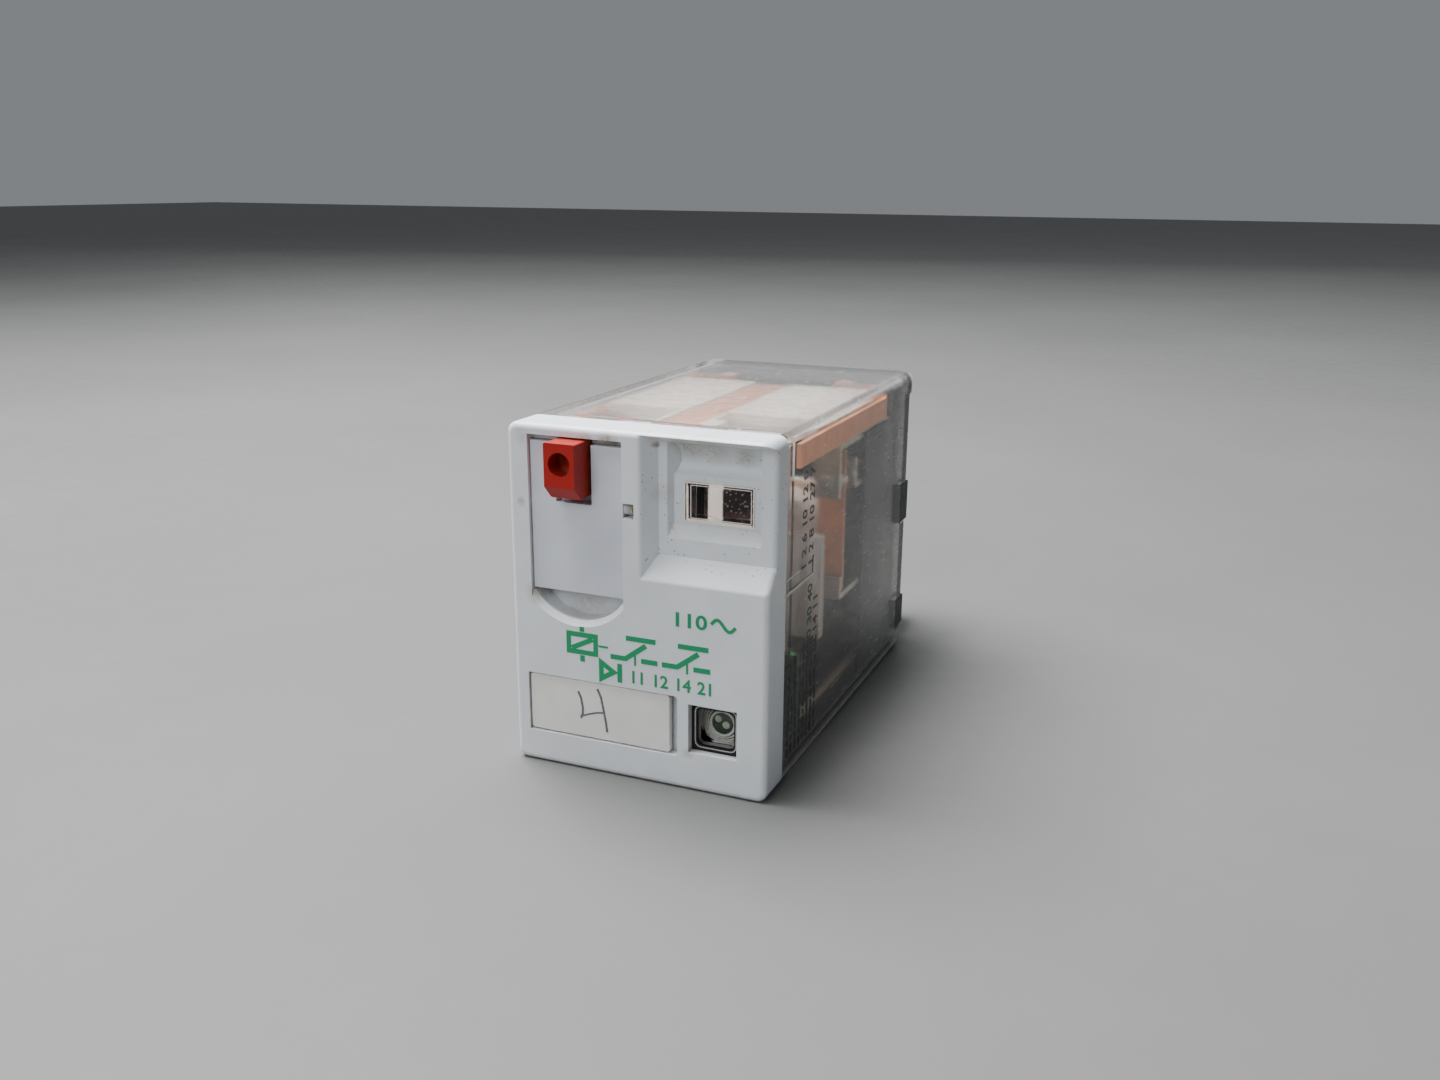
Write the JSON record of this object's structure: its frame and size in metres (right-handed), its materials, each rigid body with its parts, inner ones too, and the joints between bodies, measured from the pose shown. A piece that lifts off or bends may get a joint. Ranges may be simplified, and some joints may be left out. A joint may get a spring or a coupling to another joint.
{
  "type": "plug-in control relay",
  "caption": "Plug-in control relay with a clear case, change-over contacts, flat blades, a test button with a lock-down door, a status flag, an LED and a legend plate.",
  "frame": {"origin": "centre of the base's seating plane", "axes": "+Y out of the seating plane along the blades, -Y towards the front face, +Z along the front face's long side, +X to the right seen from the front"},
  "size_m": [0.021, 0.0477, 0.027],
  "materials": {
    "face_plastic": "fine matt moulding",
    "door_plastic": "fine matt moulding",
    "button_plastic": "satin",
    "legend_plastic": "matt, writable",
    "clear_plastic": "clear polycarbonate",
    "flag_plastic": "pale band on a dark drum",
    "led_epoxy": "clear epoxy",
    "board_laminate": "green solder mask",
    "component_body": "lacquered",
    "diode_body": "moulded",
    "wire_insulation": "extruded",
    "cream_plastic": "moulded",
    "copper_wire": "enamelled wire",
    "coil_tape": "satin tape",
    "plated_iron": "zinc plated",
    "spring_steel": "drawn",
    "copper_alloy": "rolled",
    "tinned_brass": "tinned",
    "silver_contact": "silver alloy",
    "base_plastic": "glass-filled moulding"
  },
  "bodies": {
    "housing": {"front_cover": "face_plastic", "button_spring": "spring_steel", "legend_plate": "legend_plastic", "clear_cover": "clear_plastic", "led": "led_epoxy", "led_frame": "tinned_brass", "led_holder": "base_plastic", "led_board": "board_laminate", "led_resistor": "component_body", "led_diode": "diode_body", "led_wires": "wire_insulation", "bobbin": "cream_plastic", "coil_winding": "copper_wire", "coil_tape": "coil_tape", "coil_leads": "copper_wire", "iron_core": "plated_iron", "yoke": "plated_iron", "armature_clip": "spring_steel", "base": "base_plastic", "shading_ring": "copper_alloy", "nc_rivets": "silver_contact", "no_rivets": "silver_contact", "flag_screen": "base_plastic", "nc_terminal_left": "tinned_brass", "no_terminal_left": "tinned_brass", "com_terminal_left": "tinned_brass", "coil_terminal_left": "tinned_brass", "side_strap_left": "copper_alloy", "nc_terminal_right": "tinned_brass", "no_terminal_right": "tinned_brass", "com_terminal_right": "tinned_brass", "coil_terminal_right": "tinned_brass", "side_strap_right": "copper_alloy"},
    "armature": {"armature": "plated_iron", "armature_head": "cream_plastic"},
    "contact_card": {"contact_card": "cream_plastic", "card_strip": "copper_alloy", "card_rivets": "cream_plastic"},
    "test_button": {"test_button": "button_plastic"},
    "status_flag": {"status_flag": "flag_plastic"},
    "moving_contact_left": {"moving_spring_left": "copper_alloy", "moving_rivet_left": "silver_contact"},
    "moving_contact_right": {"moving_spring_right": "copper_alloy", "moving_rivet_right": "silver_contact"},
    "lock_door": {"lock_door": "door_plastic"}
  },
  "joints": [
    {"name": "armature_swing", "type": "hinge", "parent": "housing", "child": "armature", "pos_m": [0, -0.0279, -0.0103], "axis": [-1, 0, 0], "range_deg": [0, 4], "stiffness_Nm_per_rad": 0.02},
    {"name": "contact_card_slide", "type": "slide", "parent": "housing", "child": "contact_card", "axis": [0, 1, 0], "range_m": [0, 0.0015]},
    {"name": "test_button_press", "type": "slide", "parent": "housing", "child": "test_button", "axis": [0, 1, 0], "range_m": [0, 0.00145], "deforming": ["button_spring"]},
    {"name": "status_flag_turn", "type": "hinge", "parent": "housing", "child": "status_flag", "pos_m": [0.0042, -0.0302, 0.0081], "axis": [0, 0, -1], "range_deg": [0, 41.8]},
    {"name": "moving_contact_left_swing", "type": "hinge", "parent": "housing", "child": "moving_contact_left", "pos_m": [-0.00805, -0.01945, -0.0028], "axis": [-1, 0, 0], "range_deg": [0, 7.2]},
    {"name": "moving_contact_right_swing", "type": "hinge", "parent": "housing", "child": "moving_contact_right", "pos_m": [0.00805, -0.01945, -0.0028], "axis": [-1, 0, 0], "range_deg": [0, 7.2]},
    {"name": "lock_door_hinge", "type": "hinge", "parent": "housing", "child": "lock_door", "pos_m": [-0.00486, -0.0388, 0.00762], "axis": [-1, 0, 0], "range_deg": [0, 90]}
  ],
  "couplings": [
    {"joint": "contact_card_slide", "follows": "armature_swing", "m_per_rad": 0.021486},
    {"joint": "test_button_press", "follows": "armature_swing", "m_per_rad": 0.02077},
    {"joint": "status_flag_turn", "follows": "armature_swing", "ratio": 10.45},
    {"joint": "moving_contact_left_swing", "follows": "armature_swing", "ratio": 1.8},
    {"joint": "moving_contact_right_swing", "follows": "armature_swing", "ratio": 1.8}
  ]
}
